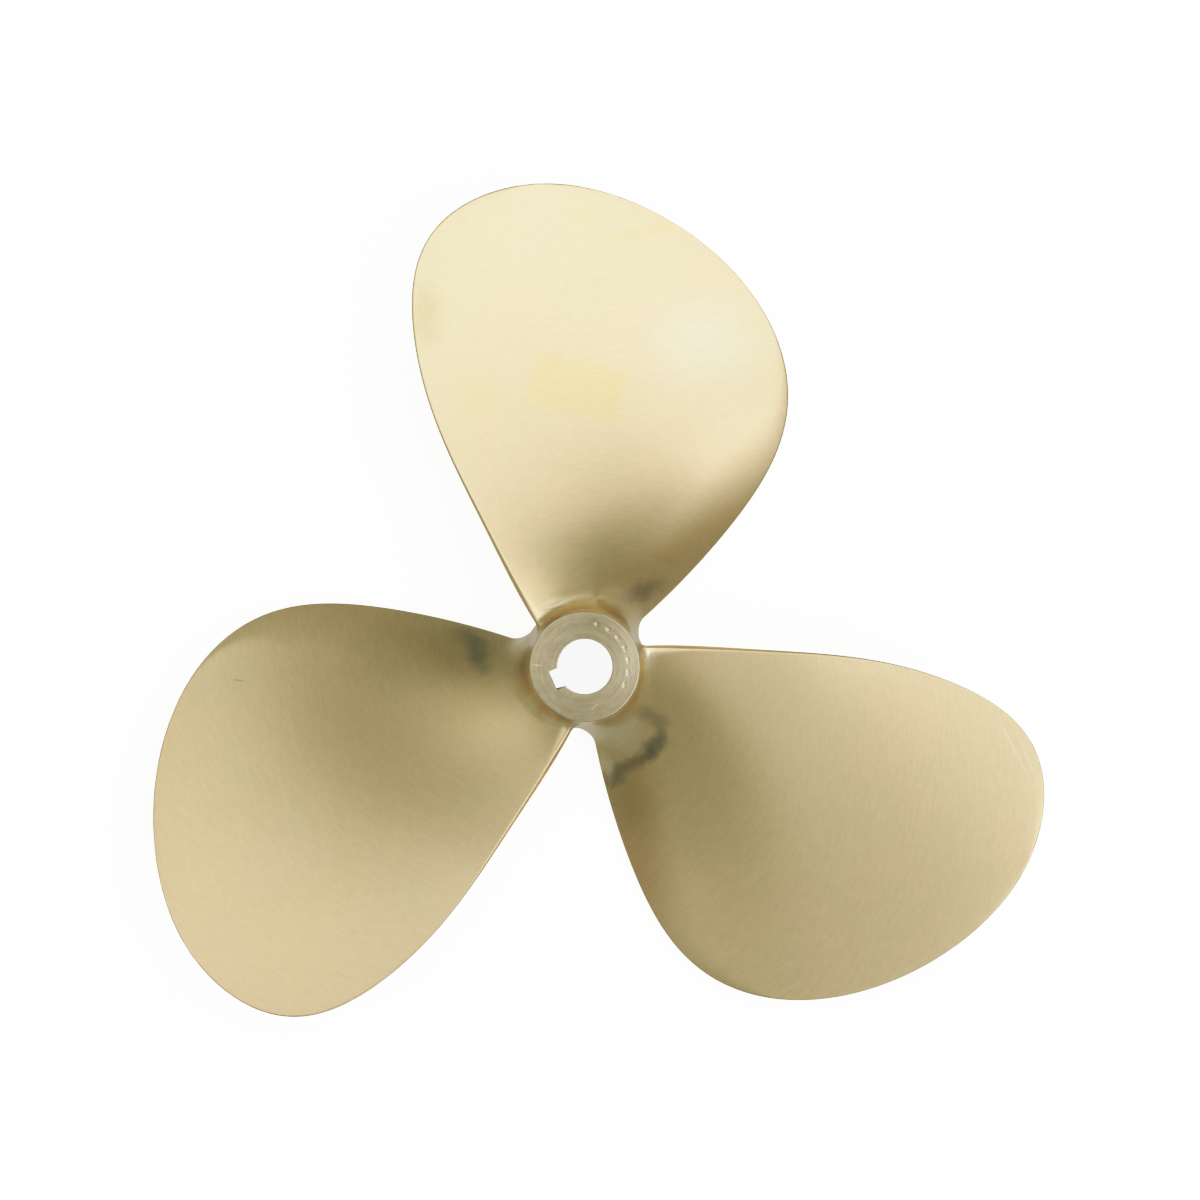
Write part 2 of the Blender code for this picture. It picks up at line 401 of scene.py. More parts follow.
@dataclass
class Blade:
    """One broad blade: a thin lens-shaped section on a helix, with rounded edges and a root fillet."""

    hub: Hub
    tip_radius: float = 0.2032
    pitch: float = 0.254
    axis: float = 87.0
    tip_angle: float = 96.2
    face_lift: float = 0.001
    root_pitch_share: float = 0.82
    full_pitch_radius: float = 0.100
    # Edges seen along the shaft: degrees from the tip's radial line at shares of the span
    span_shares: tuple[float, ...] = (0.20, 0.50, 0.75, 0.90, 1.00)
    leading_degrees: tuple[float, ...] = (56.0, 57.5, 58.0, 51.5, 41.0)
    trailing_degrees: tuple[float, ...] = (31.5, 29.5, 31.0, 35.0, 41.0)
    # Thickness at mid chord and at the edges, and the arch's share on the pressure face
    root_thickness: float = 0.0115
    tip_thickness: float = 0.0022
    root_edge: float = 0.0034
    tip_edge: float = 0.0014
    thinning_power: float = 1.2
    edge_thinning_power: float = 2.0
    face_arch_share: float = 0.5
    # Root fillet at the edges, and its swelling on each face
    leading_fillet: float = 0.0065
    trailing_fillet: float = 0.0045
    back_fillet_swell: float = 0.003
    face_fillet_swell: float = 0.007
    cone_fade: float = 0.040
    # Leading edge bent forward
    wash_length: float = 0.024
    wash_slope: float = 0.2
    wash_start: float = 0.030
    wash_end: float = 0.45
    wash_fade: float = 0.38
    least_wash: float = 0.0001
    # Roundness of the edges, which flares out at the trailing edge's root
    round_power: float = 2.3
    root_trailing_power: float = 4.5
    flare: float = 3.2
    flare_height: float = 0.020
    flare_power: float = 1.8
    # Unevenness left by grinding, which fades at the edges and the root
    unevenness: float = 0.00006
    unevenness_length: float = 0.035
    even_margin: float = 0.010
    even_root: float = 0.020
    # How finely the section and the span are cut
    crowding: float = 0.8
    nose_points: int = 12
    near_points: int = 20
    middle_points: int = 48
    fillet_steps: int = 20
    span_steps: int = 58
    tip_turn: float = 89.6
    outline_steps: int = 500

    def __post_init__(self) -> None:
        """Work out the span, the curves of both edges and the outline seen along the shaft."""
        self.span = self.tip_radius - self.hub.root_radius
        degree = len(self.span_shares) - 1
        self.leading_curve = np.polyfit(self.span_shares, self.leading_degrees, degree)
        self.trailing_curve = np.polyfit(self.span_shares, self.trailing_degrees, degree)
        shares = np.sin(np.linspace(0.0, math.pi / 2, self.outline_steps))
        radii = self.hub.root_radius + self.span * shares
        edges = [polar(radii, angles, 0.0) for angles in self.edge_angles(shares)]
        self.outline = np.concatenate(edges)[:, :2]
        self.face_segments = 2 * (self.nose_points + self.near_points) + self.middle_points

    def edge_angles(self, share: np.ndarray | float) -> tuple[np.ndarray, np.ndarray]:
        """Angles of the blade's two edges.

        Args:
            share: One or more shares of the span.

        Returns:
            The leading edge's and the trailing edge's angles there, in radians.
        """
        closing = np.sqrt(1.0 - np.square(share))
        leading = self.tip_angle - closing * np.polyval(self.leading_curve, share)
        trailing = self.tip_angle + closing * np.polyval(self.trailing_curve, share)
        return np.radians(leading), np.radians(trailing)

    def rise(self, radius: float) -> float:
        """Rise of the helix, which is a little finer at the root.

        Args:
            radius: Distance from the shaft axis.

        Returns:
            The rise per radian.
        """
        root = self.hub.root_radius
        share = smooth_step(radius - root, self.full_pitch_radius - root)
        pitch = self.pitch * (self.root_pitch_share + (1.0 - self.root_pitch_share) * share)
        return pitch / (2.0 * math.pi)

    def thickness(self, share: float) -> tuple[float, float]:
        """Thickness of the blade's section.

        Args:
            share: The section's share of the span.

        Returns:
            The thickness at mid chord and at the edges.
        """
        thinning = (1.0 - share) ** self.thinning_power
        edge_thinning = (1.0 - share) ** self.edge_thinning_power
        middle = self.tip_thickness + (self.root_thickness - self.tip_thickness) * thinning
        edge = self.tip_edge + (self.root_edge - self.tip_edge) * edge_thinning
        return middle, edge

    def nose_reach(self, height: float, edge: float, which: int) -> float:
        """Length of an edge's rounding along the chord, which grows where the outline leans over.

        Args:
            height: Height over the hub.
            edge: Thickness at the edge.
            which: 0 for the leading and 1 for the trailing edge.

        Returns:
            The rounding's length.
        """
        step = 1e-4
        radius = self.hub.root_radius + height
        shares = np.clip(np.array([height - step, height]) / self.span, 0.0, 1.0)
        angles = self.edge_angles(shares)[which]
        run = radius * (angles[1] - angles[0]) / step
        return edge / 2.0 * math.hypot(1.0, run)

    def spread(self, chord: float, leading_nose: float, trailing_nose: float) -> np.ndarray:
        """Distances along the chord from the trailing edge, crowded towards both edges.

        Args:
            chord: Length of the chord.
            leading_nose: Length of the leading edge's rounding.
            trailing_nose: Length of the trailing edge's rounding.

        Returns:
            The distances, from 0 to the chord.
        """
        noses = [min(nose, chord / 4.0) for nose in (trailing_nose, leading_nose)]
        turns = np.linspace(0.0, math.pi / 2, self.nose_points + 1)
        first = noses[0] * (1.0 - np.cos(turns))
        last = chord - noses[1] * (1.0 - np.cos(turns[::-1]))
        count = 2 * self.near_points + self.middle_points
        even = np.linspace(0.0, 1.0, count + 1)[1:-1]
        eased = (1.0 - self.crowding) * even + self.crowding * (1.0 - np.cos(math.pi * even)) / 2.0
        return np.concatenate([first, first[-1] + (last[0] - first[-1]) * eased, last])

    def fillet_radii(self, places: np.ndarray) -> np.ndarray:
        """Radii of the root fillet round a ring.

        The fillet is small at the trailing edge. On the pressure face it is widest near the leading edge.

        Args:
            places: Shares of the chord from the leading edge, for one face from the trailing edge on.

        Returns:
            A radius for each point of the ring.
        """
        both = self.trailing_fillet + (self.leading_fillet - self.trailing_fillet) * (1.0 - places)
        back = both + self.back_fillet_swell * arch(places)
        face = both + self.face_fillet_swell * early_arch(places)
        return np.concatenate([back, face[-2:0:-1]])

    def fillet_offset(self, height: float, radius: np.ndarray) -> np.ndarray:
        """Return how far a fillet of a radius stands out from the section at a height."""
        below_top = np.clip(radius - height, 0.0, radius)
        return radius - np.sqrt(radius**2 - below_top**2)

    def rounding(self, gaps: np.ndarray, reach: np.ndarray | float, power: np.ndarray) -> np.ndarray:
        """Return a rounded edge's profile, from 0 at the outline to 1 at the reach from it."""
        inward = np.clip(gaps / reach, 0.0, 1.0)
        return (1.0 - (1.0 - inward) ** power) ** (1.0 / power)

    def wash(self, height: float, x: np.ndarray) -> np.ndarray:
        """Drop of the leading edge, which is bent forward over a short length.

        Args:
            height: Height over the hub.
            x: Distances along the chord from the leading edge.

        Returns:
            The drop at each distance.
        """
        ending = 1.0 - smooth_step(height / self.span - self.wash_end, self.wash_fade)
        length = max(self.wash_length * ending * smooth_step(height, self.wash_start), self.least_wash)
        inward = np.clip(1.0 - x / length, 0.0, 1.0)
        return self.wash_slope / 2.0 * length * inward**2

    def waves(self, distance: np.ndarray, radius: float, seed: float) -> np.ndarray:
        """Unevenness left by hand grinding along one section.

        Args:
            distance: Distances along the section, measured round the shaft.
            radius: The section's radius.
            seed: Picks the blade's own unevenness.

        Returns:
            How far each point is pushed out of the smooth face.
        """
        scale = 1.0 / self.unevenness_length
        angle = distance / radius
        spots = zip(radius * np.cos(angle) * scale, radius * np.sin(angle) * scale)
        return self.unevenness * np.array([noise.noise(Vector((x, y, seed))) for x, y in spots])

    def ring(self, height: float, seed: float) -> np.ndarray:
        """Ring round the blade at a height over the hub.

        The ring starts at the trailing edge, runs along the suction face to the leading edge and comes back
        along the pressure face.

        Args:
            height: Height over the hub's mean radius.
            seed: Picks the blade's own unevenness.

        Returns:
            The ring's points.
        """
        radius = self.hub.root_radius + height
        share = max(height, 0.0) / self.span
        leading, trailing = self.edge_angles(share)
        middle, edge = self.thickness(share)
        rise = self.rise(radius)
        slope = math.atan2(rise, radius)
        along = np.array([math.cos(slope), math.sin(slope)])
        forward = np.array([math.sin(slope), -math.cos(slope)])
        lead_angle = leading - forward[0] * edge / (2.0 * radius)
        lead_height = self.face_lift + rise * (lead_angle - math.radians(self.axis))
        start = np.array([radius * lead_angle, lead_height])
        chord = radius * (trailing - leading) / math.cos(slope)

        noses = [self.nose_reach(height, edge, which) for which in (0, 1)]
        x = chord - self.spread(chord, *noses)
        angles = leading + x * math.cos(slope) / radius
        spots = polar(radius, angles, 0.0)[:, :2]
        gaps = np.linalg.norm(spots[:, None, :] - self.outline[None, :, :], axis=2).min(axis=1)
        gaps = np.minimum(gaps / math.cos(slope), np.minimum(x, chord - x))
        places = x / chord
        trailing_share = np.clip(2.0 * places - 1.0, 0.0, 1.0)
        squareness = (self.root_trailing_power - self.round_power) * (1.0 - share) ** 2
        power = self.round_power + squareness * trailing_share
        flaring = trailing_share * (1.0 - smooth_step(height, self.flare_height))
        back_rounding = self.rounding(gaps, edge / 2.0, power)
        face_power = power + (self.flare_power - power) * flaring
        face_rounding = self.rounding(gaps, edge / 2.0 * (1.0 + self.flare * flaring), face_power)
        bulge = (middle - edge) * arch(places)
        fading = np.clip(gaps / self.even_margin, 0.0, 1.0) * smooth_step(height, self.even_root)
        waves = self.waves(start[0] + x * math.cos(slope), radius, seed) * fading
        back = edge / 2.0 * (1.0 + back_rounding) + (1.0 - self.face_arch_share) * bulge
        face = edge / 2.0 * (1.0 - face_rounding) - self.face_arch_share * bulge + waves

        base = start + along * x[:, None]
        base[:, 1] -= self.wash(height, x) / math.cos(slope)
        points = np.vstack([base + forward * back[:, None], (base + forward * face[:, None])[-2:0:-1]])
        tangents = np.roll(points, -1, axis=0) - np.roll(points, 1, axis=0)
        normals = np.stack([tangents[:, 1], -tangents[:, 0]], axis=1)
        normals /= np.linalg.norm(normals, axis=1)[:, None]
        points = points - normals * self.fillet_offset(height, self.fillet_radii(places))[:, None]
        fade = 1.0 - smooth_step(height, self.cone_fade)
        reach = radius + fade * (self.hub.barrel_radius(points[:, 1]) - self.hub.root_radius)
        return polar(reach, points[:, 0] / radius, points[:, 1])

    def heights(self) -> list[float]:
        """Heights of the blade's rings over the hub.

        Returns:
            The heights, close together in the fillet and at the round tip.
        """
        turns = np.radians(np.linspace(0.0, 90.0, self.fillet_steps + 1))
        top = self.fillet_radii(np.linspace(1.0, 0.0, 50)).max()
        fillet = top * (1.0 - np.cos(turns))
        first = math.degrees(math.asin(top / self.span))
        spans = self.span * np.sin(np.radians(np.linspace(first, self.tip_turn, self.span_steps + 1)))
        return [*fillet.tolist(), *spans[1:].tolist()]

    def build(self, skin: Skin, turn: float, seed: float) -> np.ndarray:
        """Build the blade from its fillet's foot to its tip.

        Args:
            skin: The surface to add to.
            turn: The blade's turn round the shaft from the first blade, in radians.
            seed: Picks the blade's own unevenness.

        Returns:
            Points of the fillet's foot.
        """
        spin = np.array(Matrix.Rotation(turn, 3, "Z")).T
        foot = self.ring(0.0, seed) @ spin
        loops = (self.ring(height, seed) @ spin for height in self.heights()[1:])
        last = skin.run(skin.loop(foot), loops, Surface.BRUSHED)
        count = self.face_segments
        skin.face((last[0], last[1], last[-1]), Surface.BRUSHED)
        for i in range(1, count - 1):
            back = 2 * count - i
            skin.face((last[i], last[i + 1], last[back - 1], last[back]), Surface.BRUSHED)
        skin.face((last[count - 1], last[count], last[count + 1]), Surface.BRUSHED)
        return foot


@dataclass
class Casting:
    """The whole propeller, cast and machined in one piece."""

    hub: Hub
    blade: Blade
    blades: int = 3
    skin_layers: int = 14
    layer_power: float = 1.5
    weld: float = 0.000001
    crease: float = 38.0

    def barrel_frame(self, centre: float) -> np.ndarray:
        """Outer edge of the barrel's skin round one blade, in skewed angle and height.

        Args:
            centre: Skewed angle of the blade.

        Returns:
            Skewed angles and heights, from the middle of the top over the right, bottom and left.
        """
        half_top = self.blade.nose_points + self.blade.near_points
        side = self.blade.middle_points
        half_angle = math.pi / self.blades
        top, bottom = self.hub.top, self.hub.bottom
        right = centre + half_angle
        left = centre - half_angle
        corners = [
            ((centre, top), (right, top), half_top),
            ((right, top), (right, bottom), side),
            ((right, bottom), (left, bottom), 2 * half_top),
            ((left, bottom), (left, top), side),
            ((left, top), (centre, top), half_top),
        ]
        runs = [np.linspace(first, second, steps, endpoint=False) for first, second, steps in corners]
        return np.concatenate(runs)

    def build_barrel(self, skin: Skin, feet: list[np.ndarray]) -> tuple[np.ndarray, np.ndarray]:
        """Build the barrel's skin between the blades.

        Args:
            skin: The surface to add to.
            feet: Points of each fillet's foot.

        Returns:
            The barrel's last points at its aft and at its forward end, anticlockwise.
        """
        rise = self.blade.rise(self.hub.root_radius)
        half_top = self.blade.nose_points + self.blade.near_points
        side = self.blade.middle_points
        aft, forward = [], []
        for foot in feet:
            inner = np.column_stack([turn_angles(foot) - foot[:, 2] / rise, foot[:, 2]])
            outer = self.barrel_frame((inner[:, 0].min() + inner[:, 0].max()) / 2)
            loops = []
            for layer in range(1, self.skin_layers + 1):
                share = (layer / self.skin_layers) ** self.layer_power
                skewed, z = (inner + (outer - inner) * share).T
                loops.append(polar(self.hub.barrel_radius(z), skewed + z / rise, z))
            skin.run(skin.loop(foot), loops, Surface.BRUSHED)
            points = loops[-1]
            aft.append(np.roll(points, half_top, axis=0)[: 2 * half_top])
            forward.append(points[half_top + side : 3 * half_top + side + 1][:0:-1])
        return np.concatenate(aft), np.concatenate(forward)

    def build(self) -> bpy.types.Object:
        """Build the casting as one closed mesh.

        Returns:
            The new object, linked to the scene.
        """
        skin = Skin()
        turns = [2 * math.pi * number / self.blades for number in range(self.blades)]
        feet = [self.blade.build(skin, turn, 10.0 * number) for number, turn in enumerate(turns)]
        aft, forward = self.build_barrel(skin, feet)
        aft_angles = turn_angles(aft)
        bore = self.hub.build_aft_end(skin, aft_angles, skin.loop(aft))
        bore = self.hub.build_bore(skin, aft_angles[0], bore)
        ahead = (aft_angles[0] - turn_angles(forward)[0]) / (2 * math.pi)
        forward = np.roll(forward, -round(ahead * self.hub.loop_points), axis=0)
        self.hub.build_forward_end(skin, turn_angles(forward), skin.loop(forward), bore)
        return add_object("casting", skin.mesh("casting", self.weld, self.crease))

    def dress(self, item: bpy.types.Object, finishes: list[bpy.types.Material]) -> None:
        """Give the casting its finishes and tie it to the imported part.

        Args:
            item: The casting.
            finishes: A material for each Surface, in their order.
        """
        for finish in finishes:
            item.data.materials.append(finish)
        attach(item, "root")
        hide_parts("propeller")


class Nodes:
    """A node tree, with short calls for the nodes used here."""

    def __init__(self, owner: bpy.types.Material | bpy.types.World) -> None:
        """Turn on the nodes of a material or a surround."""
        owner.use_nodes = True
        self.tree = owner.node_tree

    def node(self, kind: str) -> bpy.types.Node:
        """Return a new node of a kind."""
        return self.tree.nodes.new(kind)

    def feed(self, node: bpy.types.Node, values: Inputs) -> None:
        """Link sockets to a node's inputs, or set the inputs to plain values.

        Args:
            node: The node.
            values: A socket or a plain value for each input, by its name or number.
        """
        for name, value in values.items():
            if isinstance(value, bpy.types.NodeSocket):
                self.tree.links.new(value, node.inputs[name])
            else:
                node.inputs[name].default_value = value

    def maths(self, operation: str, *values: Value) -> Socket:
        """Add a Math node.

        Args:
            operation: What it does.
            values: Its inputs.

        Returns:
            The result.
        """
        node = self.node("ShaderNodeMath")
        node.operation = operation
        self.feed(node, dict(enumerate(values)))
        return node.outputs[0]

    def vector(self, operation: str, values: Inputs, output: str = "Vector") -> Socket:
        """Add a Vector Math node.

        Args:
            operation: What it does.
            values: Its inputs.
            output: The output's name.

        Returns:
            That output.
        """
        node = self.node("ShaderNodeVectorMath")
        node.operation = operation
        self.feed(node, values)
        return node.outputs[output]

    def ramp(self, value: Value, low: float, high: float, start: float, end: float) -> Socket:
        """Smooth ramp between two values.

        Args:
            value: What the ramp is read at.
            low: Where the ramp begins.
            high: Where it ends.
            start: Its result up to the low value.
            end: Its result from the high value on.

        Returns:
            The ramp's result.
        """
        node = self.node("ShaderNodeMapRange")
        node.interpolation_type = "SMOOTHSTEP"
        self.feed(node, {"Value": value, "From Min": low, "From Max": high, "To Min": start, "To Max": end})
        return node.outputs["Result"]

    def stretch(self, noise: Socket, start: float, end: float) -> Socket:
        """Return noise spread over the range from start to end."""
        return self.ramp(noise, 0.3, 0.7, start, end)

    def mix(self, factor: Value, first: Value | Tint, second: Value | Tint) -> Socket:
        """Return a colour between two.

        Args:
            factor: The second colour's share.
            first: A colour, or a socket that gives one.
            second: Another.

        Returns:
            The mixed colour.
        """
        node = self.node("ShaderNodeMix")
        node.data_type = "RGBA"
        first, second = ((*tint, 1.0) if isinstance(tint, tuple) else tint for tint in (first, second))
        self.feed(node, {0: factor, 6: first, 7: second})
        return node.outputs[2]


class Sheet(Nodes):
    """A material's nodes, fed with the object's own coordinates."""

    def __init__(self, name: str) -> None:
        """Make the material and find its shader and the object's coordinates."""
        self.material = bpy.data.materials.new(name)
        super().__init__(self.material)
        self.shader = self.tree.nodes["Principled BSDF"]
        self.place = self.node("ShaderNodeTexCoord").outputs["Object"]

    def shade(self, colour: Socket, factor: Value) -> Socket:
        """Return a colour made darker or lighter by a factor."""
        return self.vector("SCALE", {0: colour, "Scale": factor})

    def noise(self, place: Socket, scale: float, detail: float, strand: Value | None = None) -> Socket:
        """Return noise around 0.5.

        Args:
            place: Where the noise is read.
            scale: Features per metre.
            detail: Octaves of finer noise.
            strand: A fourth coordinate, across which the noise changes too.

        Returns:
            The noise's value.
        """
        node = self.node("ShaderNodeTexNoise")
        node.noise_dimensions = "3D" if strand is None else "4D"
        self.feed(node, {"Vector": place, "Scale": scale, "Detail": detail})
        if strand is not None:
            self.feed(node, {"W": strand})
        return node.outputs["Fac"]

    def wander(self, scale: float, reach: float) -> Socket:
        """Return the object's coordinates, moved to and fro by up to half the reach.

        Args:
            scale: Turns of the wandering per metre.
            reach: How far the coordinates wander from one side to the other.

        Returns:
            The wandering coordinates.
        """
        drift = self.node("ShaderNodeTexNoise")
        self.feed(drift, {"Vector": self.place, "Scale": scale, "Detail": 3.0})
        centred = self.vector("SUBTRACT", {0: drift.outputs["Color"], 1: (0.5, 0.5, 0.5)})
        return self.vector("MULTIPLY_ADD", {0: centred, 1: (reach, reach, 0.0), 2: self.place})

    def shifted(self, place: Socket, centre: Pair, turn: float, size: Pair) -> Socket:
        """Coordinates in which an ellipse seen along the shaft has the radius 1.

        Args:
            place: The coordinates to change.
            centre: The ellipse's centre.
            turn: Its turn anticlockwise, in degrees.
            size: Its two radii.

        Returns:
            The changed coordinates, in which heights count for nothing.
        """
        node = self.node("ShaderNodeMapping")
        node.vector_type = "TEXTURE"
        self.feed(node, {"Vector": place, "Location": (*centre, 0.0), "Scale": (*size, 1000.0)})
        self.feed(node, {"Rotation": (0.0, 0.0, math.radians(turn))})
        return node.outputs["Vector"]

    def length(self, vector: Socket) -> Socket:
        """Return the length of a vector."""
        return self.vector("LENGTH", {0: vector}, "Value")

    def farthest(self, vector: Socket) -> Socket:
        """Return the larger of a vector's lengths along X and Y, which is 1 round a square."""
        node = self.node("ShaderNodeSeparateXYZ")
        self.feed(node, {0: vector})
        return self.maths("MAXIMUM", *(self.maths("ABSOLUTE", node.outputs[side]) for side in (0, 1)))

    def shaft_radius(self, place: Socket) -> Socket:
        """Return a place's distance from the shaft axis."""
        return self.length(self.vector("MULTIPLY", {0: place, 1: (1.0, 1.0, 0.0)}))

    def brushed(self, anisotropy: float) -> None:
        """Stretch the gloss across brush lines that run round the shaft.

        Args:
            anisotropy: How much the gloss is stretched.
        """
        tangent = self.node("ShaderNodeTangent")
        tangent.direction_type = "RADIAL"
        tangent.axis = "Z"
        self.feed(self.shader, {"Tangent": tangent.outputs[0]})
        self.feed(self.shader, {"Anisotropic": anisotropy, "Anisotropic Rotation": 0.25})

    def bump(self, height: Value, distance: float) -> Socket:
        """Return a normal disturbed by a height."""
        node = self.node("ShaderNodeBump")
        self.feed(node, {"Height": height, "Distance": distance, "Strength": 1.0})
        return node.outputs[0]


@dataclass(frozen=True)
class MarkOrPaintedLight:
    """A soft patch of another tint, at a place seen along the shaft, in millimetres. Some patches are
    stains and marks, others painted highlights and painted shade.
    """

    tint: Tint
    strength: float
    centre: Pair
    size: Pair
    turn: float = 0.0
    softness: float = 0.9
    boxy: bool = False

    def over(self, sheet: Sheet, colour: Socket, place: Socket) -> Socket:
        """Lay the patch over a colour.

        Args:
            sheet: The material.
            colour: The colour below.
            place: Coordinates that wander a little, for the ragged edge.

        Returns:
            The colour with the stain.
        """
        centre = (self.centre[0] / 1000.0, self.centre[1] / 1000.0)
        size = (self.size[0] / 1000.0, self.size[1] / 1000.0)
        local = sheet.shifted(place, centre, self.turn, size)
        reach = sheet.farthest(local) if self.boxy else sheet.length(local)
        mask = sheet.ramp(reach, 1.0 - self.softness, 1.0 + self.softness / 2, self.strength, 0.0)
        return sheet.mix(mask, colour, self.tint)


def with_marks_and_painted_light(sheet: Sheet, colour: Socket, place: Socket, marks_and_painted_light: tuple[MarkOrPaintedLight, ...]) -> Socket:
    """Return a colour with stains, marks, painted highlights and painted shade laid over it in order."""
    for overlay in marks_and_painted_light:
        colour = overlay.over(sheet, colour, place)
    return colour


# Tints for the patches below. GLINT and GREY lay painted highlights. PALE and DULL serve for marks, and
# also for the ring face's painted highlight and painted shade.
SMUT = (0.20, 0.205, 0.15)
OLIVE = (0.38, 0.33, 0.14)
YELLOW = (0.84, 0.63, 0.27)
PALE = (0.90, 0.79, 0.57)
GREY = (0.92, 0.83, 0.64)
GLINT = (1.0, 0.88, 0.62)
ROSY = (0.82, 0.63, 0.40)
DULL = (0.40, 0.34, 0.21)

# Patches on the blades and barrel, in millimetres: stains, smudges and colour patches, with painted
# highlights and painted shade where noted below.
BLADE_MARKS_AND_PAINTED_LIGHT = (
    MarkOrPaintedLight(OLIVE, 0.35, (19.0, -56.0), (13.0, 20.0), 25.0),
    # Painted highlight: a lighter patch on the right blade's leading root.
    MarkOrPaintedLight(GREY, 0.60, (18.0, -30.0), (9.5, 9.0)),
    MarkOrPaintedLight(SMUT, 0.35, (27.0, -20.0), (6.0, 3.0), -22.0),
    MarkOrPaintedLight(SMUT, 0.45, (32.0, -26.5), (3.6, 7.0), 8.0),
    MarkOrPaintedLight(SMUT, 0.80, (28.5, -35.0), (8.5, 4.2), 45.0),
    MarkOrPaintedLight(SMUT, 0.55, (19.5, -42.0), (7.5, 3.6), 30.0),
    MarkOrPaintedLight(SMUT, 0.50, (13.0, -47.0), (6.5, 4.5), 20.0),
    # Painted highlight on the right blade's leading edge near the root.
    MarkOrPaintedLight(GLINT, 0.70, (9.5, -42.5), (2.6, 6.5), 15.0),
    # Darker olive over the left blade's leading half near the root: partly stain, partly painted shade.
    MarkOrPaintedLight(OLIVE, 0.35, (-60.0, 8.0), (36.0, 18.0), 5.0),
    MarkOrPaintedLight(OLIVE, 0.40, (-44.0, 5.0), (22.0, 12.0), 5.0),
    MarkOrPaintedLight(SMUT, 0.60, (-45.0, 5.5), (5.0, 9.0), 15.0),
    MarkOrPaintedLight(SMUT, 0.35, (-50.0, 13.0), (8.0, 4.0), -15.0),
    MarkOrPaintedLight(OLIVE, 0.20, (22.0, 42.0), (16.0, 12.0), 30.0),
    MarkOrPaintedLight(SMUT, 0.50, (26.0, 32.0), (10.0, 4.2), 20.0),
    MarkOrPaintedLight(OLIVE, 0.30, (-66.0, 146.0), (8.0, 14.0)),
    MarkOrPaintedLight(YELLOW, 0.25, (-45.0, 112.0), (9.0, 14.0)),
    MarkOrPaintedLight(YELLOW, 0.60, (-3.0, 117.0), (20.0, 11.5), -13.0, 0.15, True),
    MarkOrPaintedLight(YELLOW, 0.45, (25.0, 183.0), (20.0, 2.4), 12.0),
    MarkOrPaintedLight(YELLOW, 0.40, (1.0, 188.0), (9.0, 2.2), 12.0),
    MarkOrPaintedLight(ROSY, 0.50, (-128.0, -80.0), (20.0, 14.0), 25.0),
    MarkOrPaintedLight(PALE, 0.35, (52.0, 136.0), (24.0, 20.0)),
    # Painted highlights on the blade roots and fillets beside the ring face.
    MarkOrPaintedLight(GLINT, 0.60, (-12.0, 26.5), (7.0, 2.2), 20.0),
    MarkOrPaintedLight(GLINT, 0.75, (26.5, 2.5), (4.0, 5.0)),
    MarkOrPaintedLight(GLINT, 0.50, (-22.0, -15.0), (5.0, 4.0), -45.0),
    MarkOrPaintedLight(GLINT, 0.50, (-14.0, -22.0), (3.0, 5.0), 30.0),
)

SCRATCHES = (
    MarkOrPaintedLight(PALE, 0.55, (179.0, -35.0), (17.0, 0.35), -62.0, 0.6),
    MarkOrPaintedLight(PALE, 0.45, (184.0, -37.0), (13.0, 0.30), -66.0, 0.6),
    MarkOrPaintedLight(PALE, 0.40, (-12.5, 25.0), (4.6, 0.30), 20.0, 0.6),
    MarkOrPaintedLight(OLIVE, 0.45, (-12.0, 24.2), (5.0, 0.30), 14.0, 0.6),
    MarkOrPaintedLight(OLIVE, 0.40, (-11.5, 26.4), (4.0, 0.30), 24.0, 0.6),
    MarkOrPaintedLight(SMUT, 0.45, (-146.2, -6.0), (2.2, 0.40), -8.0, 0.6),
    MarkOrPaintedLight(OLIVE, 0.50, (13.0, -50.5), (0.8, 2.4), -25.0, 0.6),
)

RING_MARKS_AND_PAINTED_LIGHT = (
    # Painted shade at the top and bottom of the ring face and a painted highlight at its right, standing in
    # for the turned rings' gloss.
    MarkOrPaintedLight(DULL, 0.55, (1.0, 19.0), (14.0, 9.0)),
    MarkOrPaintedLight(DULL, 0.30, (-4.0, -19.0), (14.0, 8.0)),
    MarkOrPaintedLight(PALE, 0.35, (19.0, 0.0), (8.0, 14.0)),
    # Scratches on the ring face.
    MarkOrPaintedLight(PALE, 0.70, (-19.8, 0.7), (1.7, 0.40), -10.0, 0.6),
    MarkOrPaintedLight(DULL, 0.60, (-17.0, -1.0), (1.6, 0.30), -35.0, 0.6),
    MarkOrPaintedLight(PALE, 0.50, (4.0, -16.5), (3.2, 0.25), 35.0, 0.6),
    MarkOrPaintedLight(DULL, 0.50, (-10.5, 15.0), (2.6, 0.25), 70.0, 0.6),
)


